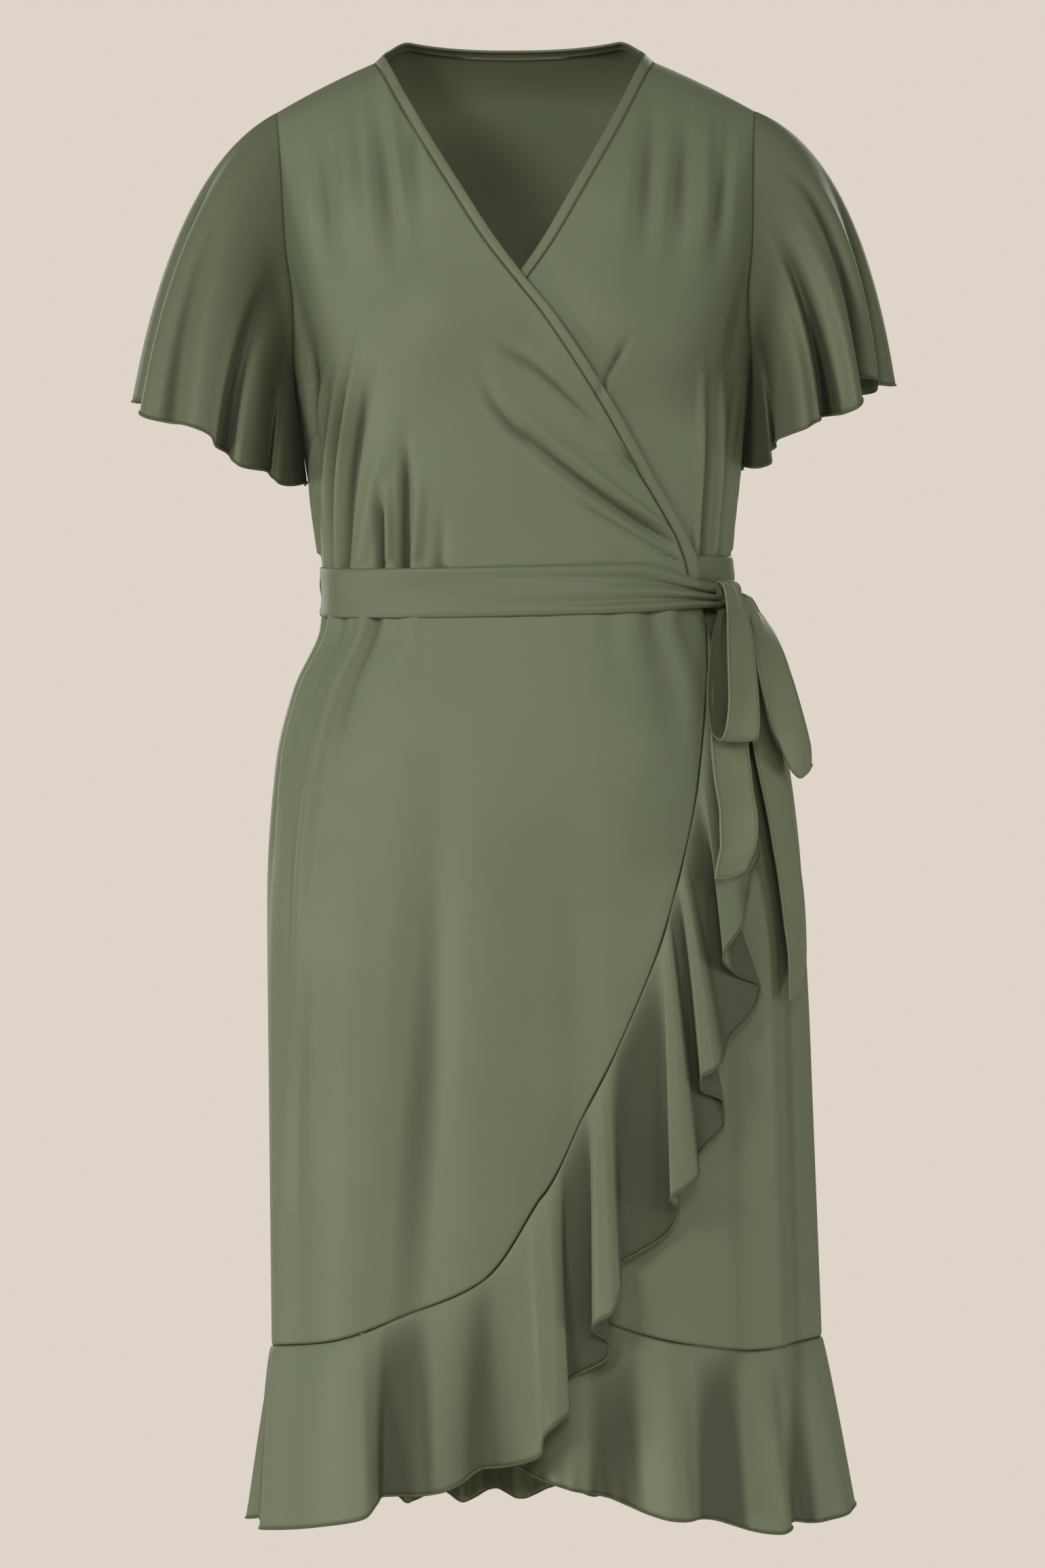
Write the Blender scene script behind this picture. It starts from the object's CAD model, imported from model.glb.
import math
import bpy
import numpy as np
from mathutils import Matrix


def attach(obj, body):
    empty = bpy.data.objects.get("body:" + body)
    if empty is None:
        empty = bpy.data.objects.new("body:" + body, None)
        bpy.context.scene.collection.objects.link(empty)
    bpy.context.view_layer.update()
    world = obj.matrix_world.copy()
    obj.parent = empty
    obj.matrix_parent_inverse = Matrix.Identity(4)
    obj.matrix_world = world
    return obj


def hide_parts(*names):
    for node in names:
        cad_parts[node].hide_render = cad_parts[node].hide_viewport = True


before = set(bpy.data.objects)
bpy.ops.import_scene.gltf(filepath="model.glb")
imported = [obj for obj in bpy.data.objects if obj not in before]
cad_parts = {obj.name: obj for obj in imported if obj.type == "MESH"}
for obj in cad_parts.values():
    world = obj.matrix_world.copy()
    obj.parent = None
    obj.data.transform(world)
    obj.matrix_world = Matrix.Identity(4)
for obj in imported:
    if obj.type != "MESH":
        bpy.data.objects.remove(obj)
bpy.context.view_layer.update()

# The camera
# The photograph was taken level and from far off, square to the front of the dress, and it leans a little.
MM = 0.001
PHOTO_HEIGHT = 2310
PIXEL = 0.523 * MM
CAMERA_AWAY = 6.0
CAMERA_PLACE = (-7.3 * MM, -CAMERA_AWAY, -560 * MM)
CAMERA_ROLL = math.radians(1.4)

camera = bpy.data.cameras.new("camera")
camera.lens = camera.sensor_width * CAMERA_AWAY / (PHOTO_HEIGHT * PIXEL)
camera_object = bpy.data.objects.new("camera", camera)
camera_object.matrix_world = Matrix((
    (math.cos(CAMERA_ROLL), math.sin(CAMERA_ROLL), 0, CAMERA_PLACE[0]),
    (0, 0, -1, CAMERA_PLACE[1]),
    (-math.sin(CAMERA_ROLL), math.cos(CAMERA_ROLL), 0, CAMERA_PLACE[2]),
    (0, 0, 0, 1),
))
bpy.context.collection.objects.link(camera_object)
bpy.context.scene.camera = camera_object

# The studio
# A pale round floor lies where the wearer would stand, under a plain pale room. Big soft boxes light the
# dress from the front, both sides and the back, so that every side shows its folds.
FLOOR_HEIGHT = -1.45
FLOOR_RADIUS = 1.9
PAPER = (0.735, 0.660, 0.590, 1)
ROOM_LIGHT = 0.13
ROOM_TINT = (1, 0.985, 0.96, 1)
LAMP_TINT = (1, 0.98, 0.95)
LAMPS_AIM = (0, 0, -0.55)
SOFT_BOXES = (
    # name, place, width, height, power
    ("front left", (-2.5, -3.4, 1.4), 1.1, 1.3, 90),
    ("front right", (2.6, -3.2, 0.2), 1.2, 2.0, 25),
    ("over the lens", (0.5, -4.3, 1.2), 1.2, 1.0, 46),
    ("left edge", (-2.6, -0.9, -0.9), 0.5, 1.0, 27),
    ("right edge", (2.6, -0.6, -1.0), 0.5, 1.0, 14),
    ("back left", (1.2, 4.0, 1.0), 1.4, 1.6, 56),
    ("back right", (-2.2, 3.5, 0.3), 1.2, 2.0, 34),
)

floor_mesh = bpy.data.meshes.new("floor")
turn = np.linspace(0, 2 * np.pi, 96, endpoint=False)
rim = np.stack([np.cos(turn) * FLOOR_RADIUS, np.sin(turn) * FLOOR_RADIUS, 0 * turn + FLOOR_HEIGHT], -1)
floor_mesh.from_pydata(rim.tolist(), [], [list(range(len(turn)))])
floor_paper = bpy.data.materials.new("floor paper")
floor_paper.use_nodes = True
paper_shader = floor_paper.node_tree.nodes["Principled BSDF"]
paper_shader.inputs["Base Color"].default_value = PAPER
paper_shader.inputs["Roughness"].default_value = 0.9
floor_mesh.materials.append(floor_paper)
floor = bpy.data.objects.new("floor", floor_mesh)
bpy.context.collection.objects.link(floor)

room = bpy.data.worlds.new("room")
room.use_nodes = True
seen = room.node_tree.nodes["Background"]
seen.inputs["Color"].default_value = PAPER
lighting = room.node_tree.nodes.new("ShaderNodeBackground")
lighting.inputs["Color"].default_value = ROOM_TINT
lighting.inputs["Strength"].default_value = ROOM_LIGHT
light_path = room.node_tree.nodes.new("ShaderNodeLightPath")
either = room.node_tree.nodes.new("ShaderNodeMixShader")
room.node_tree.links.new(light_path.outputs["Is Camera Ray"], either.inputs[0])
room.node_tree.links.new(lighting.outputs[0], either.inputs[1])
room.node_tree.links.new(seen.outputs[0], either.inputs[2])
room.node_tree.links.new(either.outputs[0], room.node_tree.nodes["World Output"].inputs["Surface"])
bpy.context.scene.world = room
bpy.context.scene.view_settings.view_transform = "Standard"

for name, place, wide, high, power in SOFT_BOXES:
    box = bpy.data.lights.new("soft box " + name, "AREA")
    box.shape = "RECTANGLE"
    box.size = wide
    box.size_y = high
    box.energy = power
    box.color = LAMP_TINT
    stand = bpy.data.objects.new("soft box " + name, box)
    away = np.array(place) - np.array(LAMPS_AIM)
    stand.location = place
    tilt = math.atan2(math.hypot(away[0], away[1]), away[2])
    stand.rotation_euler = (tilt, 0, math.atan2(away[0], -away[1]))
    bpy.context.collection.objects.link(stand)

# The back of the bodice
# The back is one panel of smooth olive jersey, cut with a shallow round neck and a little full at the
# waist, where it is gathered into the waist seam. It is sewn to the fronts at the shoulders and sides. The
# rings and tables from here on are millimetres, and they are the body form that all the panels are cut to.
RINGS = (
    # height, half width, front and back depth, drop at the sides, angle of the left front's hidden edge
    (-1140, 213, 130, 125, 0, 140),
    (-987, 211, 127, 122, 0, 140),
    (-800, 208.5, 127, 121, 0, 140),
    (-640, 206, 124, 128, 0, 142),
    (-540, 197, 114, 119, 0, 144),
    (-486, 183, 106, 104, 0, 146),
    (-436, 159, 98, 88, 0, 147),
    (-408, 156.5, 96, 84, 0, 147),
    (-320, 167, 104, 93, 2, 128),
    (-215, 180, 113, 101, 9, 105),
    (-120, 190, 98, 105, 28, 92),
    (-30, 194, 63, 86, 60, 90),
    (5, 196, 38, 56, 69, 90),
    (18, 197, 18, 28, 72, 90),
    (24, 197, 0.5, 0.5, 73, 90),
)
RIDGE = 24
ARMPIT = -245
WAIST = -408
RUFFLE_SEAM = -987
ROUNDNESS = 0.88
DROP_POWER = 1.6
NECK_X = 99
BAND_WIDTH = 9.2
BAND_WALL = 1.8
BACK_NECK = 9
NECK_SLANT = 0.62
CUP_DEEP, CUP_X, CUP_WIDE, CUP_HEIGHT, CUP_TALL = 12, 82, 52, -210, 46
SHOULDER_LEAN = 4
NECK_STAND = 12.5
HELD_DEPTH, FREE_DEPTH, HELD_WITHIN, HELD_FADE = 0.5, 9, 16, 18
FOLDS = (
    # top and bottom heights, angles there, half widths in degrees, depths at top, middle and bottom, and,
    # where the fold hangs in a curve, how steeply its angle changes: first the right front's bodice
    (-196, -340, 150, 161, 4.5, 4.5, 0, -6.5, 0),
    (-214, -380, 141, 177, 3.5, 4, 0, 5, 3),
    (-226, -400, 143, 166, 3, 3.4, 0, -6, -4),
    (-218, -400, 137.5, 162.5, 3.4, 3.6, 0, 6, 3.5),
    (-214, -392, 133.5, 155.5, 3.4, 3.2, 0, -6.5, -5),
    (-196, -408, 128, 156, 3.4, 3.2, 0, 7.5, 4),
    (-214, -408, 124.5, 150, 3.6, 3.4, 0, -8, -7),
    (-262, -408, 119, 143, 6, 5, 0, 3.5, 3.5),
    (-318, -408, 127.5, 132, 2.6, 2.8, 0, -6.5, -9),
    (-312, -408, 124.6, 129, 2.2, 2.4, 0, 4.6, 5.5),
    (-276, -408, 117.2, 123.4, 2.8, 3, 0, -7, -9.5),
    (-312, -408, 114, 120.4, 2.6, 2.6, 0, 4.6, 5.5),
    (-342, -408, 109, 112, 3, 3, 0, -3, -5.5),
    (-210, -336, 99, 59, 3.4, 3, 0, -4.6, -5, 1),
    (-214, -320, 94.5, 65, 3, 3, 0, 3.6, 3.6, 1),
    (-224, -378, 97, 45, 4, 3.2, 0, 3.6, 5.5, 2),
    (-214, -388, 98.5, 43, 3.6, 3.2, 0, -3.8, -7.5, 2.5),
    (-300, -394, 90, 46, 3.6, 3, 0, 2.6, 4, 1.6),
    (-330, -398, 84, 43, 3, 3, 0, -3.6, -5.5, 1.4),
    (-352, -404, 86, 60, 3.4, 3.2, 0, 2, 2),
    # the shoulders
    (22, -205, 121, 117, 3.4, 7, 0, -5.5, 0),
    (22, -185, 114, 110, 3, 6, 0, -4.4, 0),
    (22, -170, 130, 129, 3.4, 7, 0, 3.4, 0),
    (22, -190, 140, 138, 4, 8, 0, -4.4, 0),
    (22, -200, 60, 64, 3.4, 7, 0, -5, 0),
    (22, -190, 50, 55, 3.2, 6.6, 0, -4.6, 0),
    (22, -170, 43, 46, 3, 7, 0, 3.4, 0),
    (22, -190, 34, 41, 4, 8, 0, -4, 0),
    # under the arms
    (-120, -300, 160, 148, 6, 9, 0, -3.4, 0),
    (-120, -300, 20, 32, 6, 9, 0, -3.4, 0),
    (-160, -330, 168, 158, 5, 7, 0, 2.4, 0),
    (-160, -330, 12, 22, 5, 7, 0, 2.4, 0),
    # the left front's bodice
    (-216, -266, 65, 73.5, 2.6, 2.2, 0, -4.6, -3),
    (-222, -408, 41.5, 37, 3, 2.8, 0, 5, 5),
    (-236, -408, 37.2, 32.6, 2.8, 2.6, 0, -6, -8),
    (-218, -408, 31.5, 25.8, 3.6, 3.2, 0, 4.6, 4.6),
    (-235, -408, 24, 20, 3.4, 3, 0, -6, -7),
    (-225, -408, 17, 13, 3.6, 3.2, 0, 4.4, 5),
    (-235, -408, 10, 7, 3.6, 3.2, 0, -5, -7),
    # the skirt just under the waist
    (-408, -500, 169, 172, 5, 6, 2.2, 1.7, 0),
    (-408, -720, 163, 172, 4, 6, -3.6, -4.2, 0),
    (-408, -620, 156, 165, 4.5, 7, 2.5, 2.5, 0),
    (-408, -520, 148, 150, 4, 5, -3.4, -1.4, 0),
    (-408, -880, 137, 157, 4, 7, 3.4, 5.4, 1),
    (-408, -560, 132, 137, 3.4, 6, -5, -2.5, 0),
    (-408, -470, 125.5, 127, 3, 5, -4.5, -1.3, 0),
    (-408, -500, 119, 120, 4, 6, 2, 1.1, 0),
    (-408, -446, 94, 94, 3, 4, -3.4, -1.1, 0),
    (-408, -450, 87, 87, 3, 4, -3.4, -1.1, 0),
    (-408, -520, 70, 72, 4, 7, -2, -1.1, 0),
    (-408, -560, 58, 60, 4, 8, -3.4, -2, 0),
    (-408, -540, 50, 53, 4, 6, 2.5, 1.4, 0),
    (-408, -560, 34, 35, 4, 7, -3.4, -2.2, 0),
    (-408, -600, 24, 25, 4, 7, 2.8, 2, 0),
    (-408, -580, 14, 13, 4, 6, -4.2, -2.5, 0),
    (-408, -560, 4, 4, 4, 6, 2.5, 2, 0),
    # the long soft troughs and ridges of the skirt's front
    (-470, -1000, 106, 118, 9, 11, 0, -6.6, -3.6),
    (-520, -1000, 98, 103, 9, 11, 0, 3.5, 4.3),
    (-500, -1000, 85, 86, 9, 10, 0, -5, -4),
    (-540, -1000, 128, 134, 9, 11, 0, 2.9, 4.6),
    (-500, -1000, 150, 150, 8, 9, 0, -5.2, -3.6),
    (-560, -1000, 166, 163, 7, 8, 0, 3.5, 4.6),
    (-560, -1000, 46, 49, 10, 11, 0, -4.3, -3.8),
    (-560, -1000, 62, 66, 8, 10, 0, 2.6, 3.8),
    (-520, -1000, 20, 24, 9, 10, 0, -4.3, -3.4),
    (-560, -1000, 34, 36, 6, 8, 0, 2.9, 3.8),
    (-560, -1000, 8, 10, 6, 7, 0, 2.9, 3.5),
    # the back of the bodice
    (-250, -408, 196, 197, 7, 5, 0, -2.6, -4.8),
    (-235, -408, 205, 206, 6, 5, 0, 2.2, 3.2),
    (-225, -408, 214, 215, 8, 5, 0, -3.5, -6.4),
    (-290, -408, 226, 227, 6, 4, 0, 1.9, 3.5),
    (-240, -408, 238, 240, 8, 4.5, 0, -3.2, -5.8),
    (-300, -408, 252, 253, 5, 4, 0, -1.9, -4.5),
    (-270, -408, 262, 262, 6, 4, 0, 1.9, 3.2),
    (-255, -408, 275, 274, 8, 4.5, 0, -2.9, -5.8),
    (-310, -408, 288, 287, 5, 4, 0, 1.9, 3.2),
    (-240, -408, 301, 299, 8, 4.5, 0, -3.5, -6.4),
    (-270, -408, 315, 314, 6, 4.5, 0, 1.9, 3.2),
    (-230, -408, 327, 325, 7, 5, 0, -3.2, -5.8),
    (-250, -408, 343, 342, 7, 5, 0, -2.2, -4.8),
    (-30, -210, 222, 226, 8, 11, -3.2, -3.8, 0),
    (-30, -210, 318, 314, 8, 11, -3.2, -3.8, 0),
    (-60, -260, 203, 214, 6, 10, 0, -4.2, 0),
    (-60, -260, 337, 326, 6, 10, 0, -4.2, 0),
    # the back of the skirt
    (-408, -600, 196, 194, 5, 7, -3.4, -2.2, 0),
    (-408, -560, 205, 203, 4, 6, 2.8, 2, 0),
    (-408, -640, 214, 209, 5, 8, -5, -3.4, 0),
    (-408, -540, 227, 225, 4, 6, 2.5, 1.7, 0),
    (-408, -600, 241, 238, 4.5, 8, -4.8, -3.1, 0),
    (-408, -500, 254, 254, 4, 5, -3.4, -1.4, 0),
    (-408, -560, 263, 263, 4, 7, 2.8, 1.7, 0),
    (-408, -580, 274, 275, 4.5, 8, -4.5, -2.8, 0),
    (-408, -520, 286, 287, 4, 6, 2.2, 1.4, 0),
    (-408, -600, 298, 301, 4.5, 8, -5, -3.1, 0),
    (-408, -540, 312, 314, 4, 6, 2.8, 1.7, 0),
    (-408, -640, 326, 331, 5, 8, -4.8, -3.1, 0),
    (-408, -560, 342, 344, 5, 7, -3.4, -2, 0),
    (-500, -1000, 222, 218, 10, 11, 0, -5.6, -11.2),
    (-560, -1000, 238, 237, 8, 10, 0, 3.1, 4.2),
    (-520, -1000, 258, 256, 10, 12, 0, -6.2, -12.6),
    (-560, -1000, 272, 273, 7, 9, 0, 2.8, 4.2),
    (-520, -1000, 288, 291, 10, 12, 0, -5.6, -11.2),
    (-560, -1000, 306, 308, 8, 9, 0, 3.1, 4.2),
    (-500, -1000, 323, 325, 10, 11, 0, -5.6, -11.2),
    (-560, -1000, 202, 200, 8, 9, 0, 2.8, 3.9),
    (-560, -1000, 342, 343, 8, 9, 0, 2.8, 3.9),
)


def mix(low, high, share):
    """The value that lies a share of the way from low to high."""
    return low + (high - low) * share


def ease(share):
    """Rises smoothly from 0 to 1 as share does: three times its square less twice its cube."""
    t = np.clip(share, 0, 1)
    return t * t * (3 - 2 * t)


def signed_power(value, power):
    """The size of value raised to power, with value's sign."""
    return np.sign(value) * np.abs(value) ** power


def smooth_curve(at, value):
    """A cubic curve through the (at, value) pairs that never overshoots them. Its slope at a pair is the
    harmonic mean of the slopes beside it, or 0 at a turn, and it runs straight on past its ends."""
    at, value = np.array(at, float), np.array(value, float)
    width = np.diff(at)
    slope = np.diff(value) / width
    before, after = slope[:-1], slope[1:]
    same_way = before * after > 0
    inner = np.where(same_way, 2 * before * after / np.where(same_way, before + after, 1), 0)
    tangent = np.concatenate([slope[:1], inner, slope[-1:]])

    def curve(where):
        """The curve's value: a cubic between two pairs, and past the ends a straight line."""
        where = np.asarray(where, float)
        i = np.clip(np.searchsorted(at, where, side="right") - 1, 0, len(width) - 1)
        t = np.clip((where - at[i]) / width[i], 0, 1)
        cubic = value[i] * (1 + 2 * t) * (1 - t) ** 2 + value[i + 1] * t * t * (3 - 2 * t)
        bend = width[i] * t * (1 - t) * (tangent[i] * (1 - t) - tangent[i + 1] * t)
        past = tangent[0] * np.minimum(where - at[0], 0) + tangent[-1] * np.maximum(where - at[-1], 0)
        return cubic + bend + past

    return curve


def bell(away):
    """A cosine bell: 1 where away is 0, and 0 from 1 on at either side."""
    return (1 + np.cos(np.pi * np.clip(away, -1, 1))) / 2


def where_zero(falling, low, high):
    """The place between low and high where a falling function reaches 0, by halving 34 times."""
    for _ in range(34):
        middle = (low + high) / 2
        above = falling(middle) > 0
        low, high = np.where(above, middle, low), np.where(above, high, middle)
    return (low + high) / 2


def table_curves(table, columns, at=None):
    """A smooth curve through each of a table's columns, by the number of the row or by the column at."""
    where = range(len(table)) if at is None else [row[at] for row in table]
    return [smooth_curve(where, [row[column] for row in table]) for column in columns]


ring_half, ring_front, ring_back, ring_drop, ring_lap = table_curves(RINGS, range(1, 6), 0)


def form_point(angle, height):
    """The point on the form at an angle in degrees and a ring height. The ring is an ellipse whose cosine
    and sine are raised to ROUNDNESS, so that it is a little square, and it falls away to the sides. The
    front adds two cups that fade with the square of the distance from their middles, one shoulder lies a
    little lower, and beside the neck the cloth stands up."""
    c, s = np.cos(np.radians(angle)), np.sin(np.radians(angle))
    x = ring_half(height) * signed_power(c, ROUNDNESS)
    aside, above = (np.abs(x) - CUP_X) / CUP_WIDE, (height - CUP_HEIGHT) / CUP_TALL
    cup = CUP_DEEP * s * np.exp(-(aside**2) - above**2)
    depth = np.where(s > 0, ring_front(height) + cup, ring_back(height))
    fall = ring_drop(height) * np.abs(c) ** (DROP_POWER * ROUNDNESS)
    lean = -SHOULDER_LEAN * x / 190 * ease((height + 260) / 200)
    beside_neck = (1 + NECK_STAND * (np.abs(x) / 78) ** 1.6) * ease((NECK_X + 9 - np.abs(x)) / 28)
    stand = beside_neck * np.where(s < 0, ease((height + 70) / 75), ease((height + 10) / 34))
    return np.stack([x, -depth * signed_power(s, ROUNDNESS), height - fall + lean + stand], -1)


def unit(vectors):
    """Each vector divided by its length."""
    return vectors / np.maximum(np.linalg.norm(vectors, axis=-1, keepdims=True), 1e-9)


def form_normal(angle, height):
    """The direction out of the form: the cross product of a small step up and a small step round."""
    top = np.minimum(height + 0.5, RIDGE)
    round_step = form_point(angle + 0.3, height) - form_point(angle - 0.3, height)
    up_step = form_point(angle, top) - form_point(angle, top - 1)
    normal = unit(np.cross(up_step, round_step))
    level = np.stack([normal[..., 0], 0 * normal[..., 1], np.abs(normal[..., 2])], -1)
    return np.where((height > RIDGE - 0.5)[..., None], unit(level), normal)


def fold_depth(angle, height):
    """The folds' depths added up. Across a fold the depth is a cosine bell, and down it the depth eases
    from the top value to the middle and the bottom ones while its width changes evenly, and its angle
    evenly or with the way down to a power: such a drape runs out before its end. Round the waist the cloth
    is held in, so that it stays under the sash."""
    depth = np.zeros(np.broadcast(angle, height).shape)
    for top, bottom, angle_top, angle_low, wide_top, wide_low, deep_top, deep, deep_low, *curved in FOLDS:
        t = (top - height) / (top - bottom)
        down = np.clip(t, 0, 1) ** (curved[0] if curved else 1)
        away = (angle % 360 - mix(angle_top, angle_low, down)) / mix(wide_top, wide_low, t)
        along = mix(mix(deep_top, deep, ease(2 * t)), deep_low, ease(2 * t - 1))
        if curved:
            along = along * ease((1 - t) / 0.16)
        depth += along * bell(np.where((t >= 0) & (t <= 1), away, 1))
    off_waist = (np.abs(height - WAIST) - HELD_WITHIN) / HELD_FADE
    return np.minimum(depth, HELD_DEPTH + FREE_DEPTH * ease(off_waist))


def plain_point(angle, height, off):
    """The form's point moved out by off."""
    return form_point(angle, height) + form_normal(angle, height) * np.asarray(off)[..., None]


def cloth_point(angle, height, off):
    """The form's point moved out by off and by the folds."""
    return plain_point(angle, height, off + fold_depth(angle, height))


def armhole_angle(height):
    """How far round from the side the armhole reaches: a quarter ellipse above the armpit, then nearly
    straight."""
    low = 20 * np.sqrt(np.clip(1 - ((-150 - height) / 95) ** 2, 0, 1))
    high = mix(20, 22, (height + 150) / (RIDGE + 150))
    return np.where(height >= -150, high, np.where(height <= ARMPIT, 0, low))


def arc_steps(points, axis):
    """The length along the grid's lines from their start to each point."""
    step = np.linalg.norm(np.diff(points, axis=axis), axis=-1)
    start = np.zeros_like(np.take(step, [0], axis))
    return np.concatenate([start, np.cumsum(step, axis)], axis)


def step_at(points, axis, closed=False):
    """The step at each point along an axis of the grid, from the neighbour before it to the one after."""
    if closed:
        return np.roll(points, -1, axis) - np.roll(points, 1, axis)
    return np.gradient(points, axis=axis)


def hollowness(points, outward, closed, within):
    """How far each point lies in behind the cloth round it, in mm: the mean of the points within that many
    mm along its row is set against the point itself, along its normal. The rows run on past open ends,
    mirrored through their ends."""
    step = np.median(np.linalg.norm(np.diff(points, axis=1), axis=-1))
    reach = int(np.clip(round(within / max(step, 0.05)), 1, points.shape[1] // 2 - 1))
    if closed:
        before, after = points[:, -reach:], points[:, :reach]
    else:
        before = 2 * points[:, :1] - points[:, reach:0:-1]
        after = 2 * points[:, -1:] - points[:, -2 : -reach - 2 : -1]
    row = np.concatenate([before, points, after], 1)
    total = np.cumsum(np.concatenate([0 * row[:, :1], row], 1), axis=1)
    mean = (total[:, 2 * reach + 1 :] - total[:, : -2 * reach - 1]) / (2 * reach + 1)
    return np.sum((mean - points) * outward, axis=-1)


def quad_object(name, points, flat, finish, ring=False, loop=False, flip=False, caps=False):
    """A grid of points in mm becomes an object of quads in metres, with the flat places as its UV map. A
    ring closes each row and a loop joins the last row to the first, flip turns the faces over, and caps
    close the first and last row."""
    rows, columns = points.shape[:2]
    number = np.arange(rows * columns).reshape(rows, columns)
    ends = [number[0].tolist(), number[-1, ::-1].tolist()] if caps else []
    if ring:
        number = np.concatenate([number, number[:, :1]], 1)
    if loop:
        number = np.concatenate([number, number[:1]], 0)
    corners = [number[:-1, :-1], number[:-1, 1:], number[1:, 1:], number[1:, :-1]]
    faces = np.stack(corners[::-1] if flip else corners, -1).reshape(-1, 4)
    mesh = bpy.data.meshes.new(name)
    mesh.from_pydata((points.reshape(-1, 3) * MM).tolist(), [], faces.tolist() + ends)
    corner_point = np.empty(len(mesh.loops), np.int32)
    mesh.loops.foreach_get("vertex_index", corner_point)
    places = flat.reshape(-1, 2) * MM
    mesh.uv_layers.new(name="laid flat").data.foreach_set("uv", places[corner_point].ravel())
    mesh.shade_smooth()
    mesh.materials.append(finish)
    made = bpy.data.objects.new(name, mesh)
    bpy.context.collection.objects.link(made)
    return made


def cloth_object(
    name, points, finish, sewn="", free="", closed=False, thick=0.9, side=-1, tuck=0.9,
    curl=None, within=22, hollow=None, dim=0,
):
    """A grid of points becomes a sheet of cloth with a wall thick mm through, out of the point or points
    curl. sewn and free name the edges, of left, right, bottom and top, that are sewn or hemmed. The
    distances from them are kept on the points, and near a sewn edge the cloth turns in by tuck, with the
    square of what is left of 3 mm. So is how hollow the cloth lies: as given, or else set against the cloth
    within that many mm, with dim added."""
    across, up = arc_steps(points, 1), arc_steps(points, 0)
    reach = {"left": across, "right": across[:, -1:] - across, "bottom": up, "top": up[-1:] - up}
    far = np.full(across.shape, 30.0)
    from_seam = np.min([far] + [reach[edge] for edge in sewn.split()], axis=0)
    from_hem = np.min([far] + [reach[edge] for edge in free.split()], axis=0)
    outward = unit(np.cross(step_at(points, 1, closed), step_at(points, 0)))
    middle = points.mean(axis=(0, 1)) if curl is None else curl
    flip = np.sum(outward * (points - middle) * (1, 1, 0.2)) < 0
    if flip:
        outward = -outward
    if hollow is None:
        hollow = hollowness(points, outward, closed, within) + dim
    points = points - outward * (tuck * np.clip(1 - from_seam / 3, 0, 1) ** 2)[..., None]
    flat = np.stack([across - across[:, -1:] / 2, up], -1)
    piece = quad_object(name, points, flat, finish, ring=closed, flip=flip)
    for label, kept in (("from_seam", from_seam), ("from_hem", from_hem), ("hollow", hollow)):
        values = piece.data.attributes.new(label, "FLOAT", "POINT").data
        values.foreach_set("value", kept.ravel().astype(np.float32))
    wall = piece.modifiers.new("cloth", "SOLIDIFY")
    wall.thickness = thick * MM
    wall.offset = side
    return piece


def rolled_edge(name, path, radius, finish, closed=False):
    """A hem's rolled edge: a round profile of eight points carried along the path, each ring square to it,
    and the two ends drawn to a point."""
    along = unit(step_at(path, 0, closed))
    level = unit(np.cross(along, (0, 0, 1)) + 1e-6)
    other = np.cross(level, along)
    turns = np.linspace(0, 2 * np.pi, 8, endpoint=False)
    size = np.full(len(path), float(radius))
    if not closed:
        size[[0, -1]] = 0.02
    ring = level[:, None] * np.cos(turns)[:, None] + other[:, None] * np.sin(turns)[:, None]
    points = path[:, None] + ring * size[:, None, None]
    length = arc_steps(path, 0)
    flat = np.stack([np.tile(turns * radius, len(path)), np.repeat(length, 8)], -1)
    return quad_object(name, points, flat, finish, ring=True, loop=closed, caps=not closed)


def flat_area(piece):
    """The area of a piece's sheet, in square metres, before it gets its thickness."""
    size = np.empty(len(piece.data.polygons), np.float64)
    piece.data.polygons.foreach_get("area", size)
    return float(size.sum())


def hang(piece, node, cut, fullness=1.0, trims=()):
    """Makes a piece of cloth ride on the dress in place of its solid, and its trims with it, and states the
    size that it was cut to. cut is the width and length of the cloth that it is cut from, and fullness the
    cut's area over the hung one's."""
    area = min(flat_area(piece) * fullness, cut[0] * cut[1])
    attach(piece, "root")
    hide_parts(node)
    for trim in trims:
        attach(trim, "root")


def node_group(name, inputs, outputs):
    """An empty shader group with named sockets, each given as its name, type and starting value."""
    group = bpy.data.node_groups.new(name, "ShaderNodeTree")
    for label, kind, start in inputs:
        socket = group.interface.new_socket(label, in_out="INPUT", socket_type=kind)
        if start is not None:
            socket.default_value = start
    for label, kind in outputs:
        group.interface.new_socket(label, in_out="OUTPUT", socket_type=kind)
    return group, group.nodes.new("NodeGroupInput"), group.nodes.new("NodeGroupOutput")


def feed(tree, value, socket):
    """Links a node's output to a socket, or sets the socket to a plain value."""
    if isinstance(value, bpy.types.NodeSocket):
        tree.links.new(value, socket)
    else:
        socket.default_value = value


def calculate(tree, operation, *values):
    """A Math node of that operation on the values, which are sockets or numbers."""
    node = tree.nodes.new("ShaderNodeMath")
    node.operation = operation
    for value, socket in zip(values, node.inputs):
        feed(tree, value, socket)
    return node.outputs[0]


def noise(tree, place, scale, detail, rough=0.5):
    """A Noise texture's value at a place."""
    node = tree.nodes.new("ShaderNodeTexNoise")
    tree.links.new(place, node.inputs["Vector"])
    node.inputs["Scale"].default_value = scale
    node.inputs["Detail"].default_value = detail
    node.inputs["Roughness"].default_value = rough
    return node.outputs[0]


def tinted(tree, share, low, high):
    """The colour a share of the way between two colours."""
    node = tree.nodes.new("ShaderNodeMix")
    node.data_type = "RGBA"
    feed(tree, share, node.inputs["Factor"])
    feed(tree, low, node.inputs["A"])
    feed(tree, high, node.inputs["B"])
    return node.outputs["Result"]


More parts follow.
